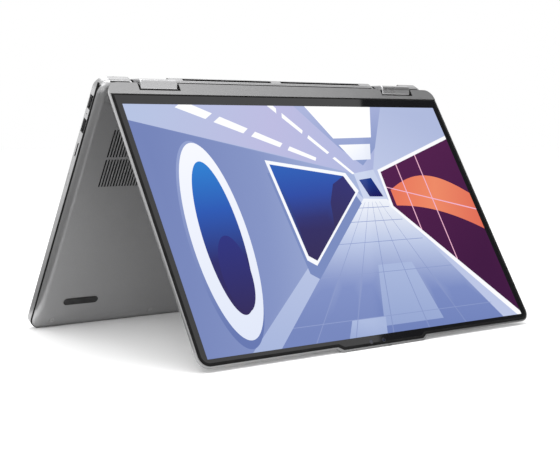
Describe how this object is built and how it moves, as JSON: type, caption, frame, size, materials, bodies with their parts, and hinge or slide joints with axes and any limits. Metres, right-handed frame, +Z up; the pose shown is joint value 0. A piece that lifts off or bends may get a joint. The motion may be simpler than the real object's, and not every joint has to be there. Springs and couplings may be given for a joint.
{
  "type": "laptop computer",
  "caption": "Convertible laptop computer in tent mode: aluminium lid and base on double-axis hinges that fold right round, with keyboard, touchpad, side ports and bottom air vents.",
  "frame": {"origin": "on the floor plane, under the middle of the standing object", "axes": "+X along the hinge, +Z up, the screen faces -Y"},
  "size_m": [0.3614, 0.2666, 0.2159],
  "materials": {
    "anodised_shell": "fine bead-blasted anodised, satin",
    "hinge_metal": "satin anodised",
    "steel": "plain",
    "port_metal": "plain",
    "black_rubber": "matte",
    "cover_glass": "glossy, opaque black border",
    "lcd_glass": "lit display",
    "key_plastic": "fine matte",
    "black_plastic": "moulded",
    "white_plastic": "diffusing sheets",
    "circuit_board": "solder mask",
    "cell_foil": "pouch cells",
    "copper": "copper, nickel-free",
    "fin_aluminium": "plain fins"
  },
  "bodies": {
    "base": {"audio_jack": "black_plastic", "base_leaf_left": "steel", "base_leaf_right": "steel", "battery_pack": "cell_foil", "bottom_cover": "anodised_shell", "bottom_screws": "steel", "card_reader": "port_metal", "fan_housing_left": "black_plastic", "fan_housing_right": "black_plastic", "front_feet": "black_rubber", "hdmi_port": "port_metal", "heat_pipe_left": "copper", "heat_pipe_right": "copper", "heatsink_left": "fin_aluminium", "heatsink_right": "fin_aluminium", "io_board": "circuit_board", "keyboard_plate": "steel", "mainboard": "circuit_board", "rear_foot": "black_rubber", "speaker_left": "black_plastic", "speaker_right": "black_plastic", "ssd": "circuit_board", "top_case": "anodised_shell", "usb_a_ports": "port_metal", "usb_c_ports": "port_metal", "wifi_card": "circuit_board"},
    "hinge_blocks": {"hinge_case_left": "hinge_metal", "hinge_case_right": "hinge_metal"},
    "lid": {"lid_back_cover": "anodised_shell", "hinge_chin_cover": "anodised_shell", "screen_gasket": "black_rubber", "touch_glass": "cover_glass", "lcd_panel": "lcd_glass", "backlight_unit": "white_plastic", "camera_board": "circuit_board", "camera_module": "black_plastic", "lid_leaf_left": "steel", "lid_leaf_right": "steel"},
    "shutter": {"camera_shutter": "black_plastic"},
    "idlers_base_side": {"idler_gears_base_side": "steel"},
    "idlers_lid_side": {"idler_gears_lid_side": "steel"},
    "touchpad_plate": {"touchpad": "cover_glass"},
    "power_key": {"power_button": "anodised_shell"},
    "rotor_left": {"fan_rotor_left": "black_plastic"},
    "rotor_right": {"fan_rotor_right": "black_plastic"},
    "press_key_backspace": {"key_backspace": "key_plastic"},
    "press_key_caps_lock": {"key_caps_lock": "key_plastic"},
    "press_key_enter": {"key_enter": "key_plastic"},
    "press_key_shift_left": {"key_shift_left": "key_plastic"},
    "press_key_shift_right": {"key_shift_right": "key_plastic"},
    "press_key_space": {"key_space": "key_plastic"},
    "press_key_tab": {"key_tab": "key_plastic"},
    "press_keys_arrows": {"keys_arrows": "key_plastic"},
    "press_keys_function_row": {"keys_function_row": "key_plastic"},
    "press_keys_home_row": {"keys_home_row": "key_plastic"},
    "press_keys_lower_row": {"keys_lower_row": "key_plastic"},
    "press_keys_modifier_row": {"keys_modifier_row": "key_plastic"},
    "press_keys_number_row": {"keys_number_row": "key_plastic"},
    "press_keys_upper_row": {"keys_upper_row": "key_plastic"}
  },
  "joints": [
    {"name": "base_to_hinge_blocks", "type": "hinge", "parent": "base", "child": "hinge_blocks", "pos_m": [0, 0.00573, 0.20961], "axis": [1, 0, 0], "range_deg": [-149.3, 30.7]},
    {"name": "hinge_blocks_to_lid", "type": "hinge", "parent": "hinge_blocks", "child": "lid", "pos_m": [0, -0.00412, 0.20969], "axis": [1, 0, 0], "range_deg": [-149.3, 30.7]},
    {"name": "idler_spin_base_side", "type": "hinge", "parent": "hinge_blocks", "child": "idlers_base_side", "pos_m": [0, 0.00245, 0.20963], "axis": [1, 0, 0], "range_deg": [-149.3, 30.7]},
    {"name": "idler_spin_lid_side", "type": "hinge", "parent": "hinge_blocks", "child": "idlers_lid_side", "pos_m": [0, -0.00084, 0.20966], "axis": [1, 0, 0], "range_deg": [-30.7, 149.3]},
    {"name": "shutter_slide", "type": "slide", "parent": "lid", "child": "shutter", "axis": [-1, 0, 0], "range_m": [0, 0.0046]},
    {"name": "touchpad_click", "type": "hinge", "parent": "base", "child": "touchpad_plate", "pos_m": [0, 0.08641, 0.08417], "axis": [-1, 0, 0], "range_deg": [0, 0.3], "stiffness_Nm_per_rad": 15, "springref_deg": -0.23},
    {"name": "power_press", "type": "slide", "parent": "base", "child": "power_key", "axis": [1, 0, 0], "range_m": [0, 0.0004], "stiffness_N_per_m": 1500, "springref_m": -0.0006},
    {"name": "fan_spin_left", "type": "hinge", "parent": "base", "child": "rotor_left", "pos_m": [0.08, 0.03732, 0.15337], "axis": [0, 0.8642, 0.5032], "continuous": true},
    {"name": "fan_spin_right", "type": "hinge", "parent": "base", "child": "rotor_right", "pos_m": [-0.08, 0.03732, 0.15337], "axis": [0, 0.8642, 0.5032], "continuous": true},
    {"name": "key_backspace_press", "type": "slide", "parent": "base", "child": "press_key_backspace", "axis": [0, -0.8642, -0.5032], "range_m": [0, 0.0015], "stiffness_N_per_m": 500, "springref_m": -0.0008},
    {"name": "key_caps_lock_press", "type": "slide", "parent": "base", "child": "press_key_caps_lock", "axis": [0, -0.8642, -0.5032], "range_m": [0, 0.0015], "stiffness_N_per_m": 500, "springref_m": -0.0008},
    {"name": "key_enter_press", "type": "slide", "parent": "base", "child": "press_key_enter", "axis": [0, -0.8642, -0.5032], "range_m": [0, 0.0015], "stiffness_N_per_m": 500, "springref_m": -0.0008},
    {"name": "key_shift_left_press", "type": "slide", "parent": "base", "child": "press_key_shift_left", "axis": [0, -0.8642, -0.5032], "range_m": [0, 0.0015], "stiffness_N_per_m": 500, "springref_m": -0.0008},
    {"name": "key_shift_right_press", "type": "slide", "parent": "base", "child": "press_key_shift_right", "axis": [0, -0.8642, -0.5032], "range_m": [0, 0.0015], "stiffness_N_per_m": 500, "springref_m": -0.0008},
    {"name": "key_space_press", "type": "slide", "parent": "base", "child": "press_key_space", "axis": [0, -0.8642, -0.5032], "range_m": [0, 0.0015], "stiffness_N_per_m": 500, "springref_m": -0.0008},
    {"name": "key_tab_press", "type": "slide", "parent": "base", "child": "press_key_tab", "axis": [0, -0.8642, -0.5032], "range_m": [0, 0.0015], "stiffness_N_per_m": 500, "springref_m": -0.0008},
    {"name": "keys_arrows_press", "type": "slide", "parent": "base", "child": "press_keys_arrows", "axis": [0, -0.8642, -0.5032], "range_m": [0, 0.0015], "stiffness_N_per_m": 1500, "springref_m": -0.0008},
    {"name": "keys_function_row_press", "type": "slide", "parent": "base", "child": "press_keys_function_row", "axis": [0, -0.8642, -0.5032], "range_m": [0, 0.0015], "stiffness_N_per_m": 1500, "springref_m": -0.0008},
    {"name": "keys_home_row_press", "type": "slide", "parent": "base", "child": "press_keys_home_row", "axis": [0, -0.8642, -0.5032], "range_m": [0, 0.0015], "stiffness_N_per_m": 1500, "springref_m": -0.0008},
    {"name": "keys_lower_row_press", "type": "slide", "parent": "base", "child": "press_keys_lower_row", "axis": [0, -0.8642, -0.5032], "range_m": [0, 0.0015], "stiffness_N_per_m": 1500, "springref_m": -0.0008},
    {"name": "keys_modifier_row_press", "type": "slide", "parent": "base", "child": "press_keys_modifier_row", "axis": [0, -0.8642, -0.5032], "range_m": [0, 0.0015], "stiffness_N_per_m": 1500, "springref_m": -0.0008},
    {"name": "keys_number_row_press", "type": "slide", "parent": "base", "child": "press_keys_number_row", "axis": [0, -0.8642, -0.5032], "range_m": [0, 0.0015], "stiffness_N_per_m": 1500, "springref_m": -0.0008},
    {"name": "keys_upper_row_press", "type": "slide", "parent": "base", "child": "press_keys_upper_row", "axis": [0, -0.8642, -0.5032], "range_m": [0, 0.0015], "stiffness_N_per_m": 1500, "springref_m": -0.0008}
  ],
  "couplings": [
    {"joint": "hinge_blocks_to_lid", "follows": "base_to_hinge_blocks", "ratio": 1},
    {"joint": "idler_spin_base_side", "follows": "base_to_hinge_blocks", "ratio": 1},
    {"joint": "idler_spin_lid_side", "follows": "base_to_hinge_blocks", "ratio": -1}
  ]
}
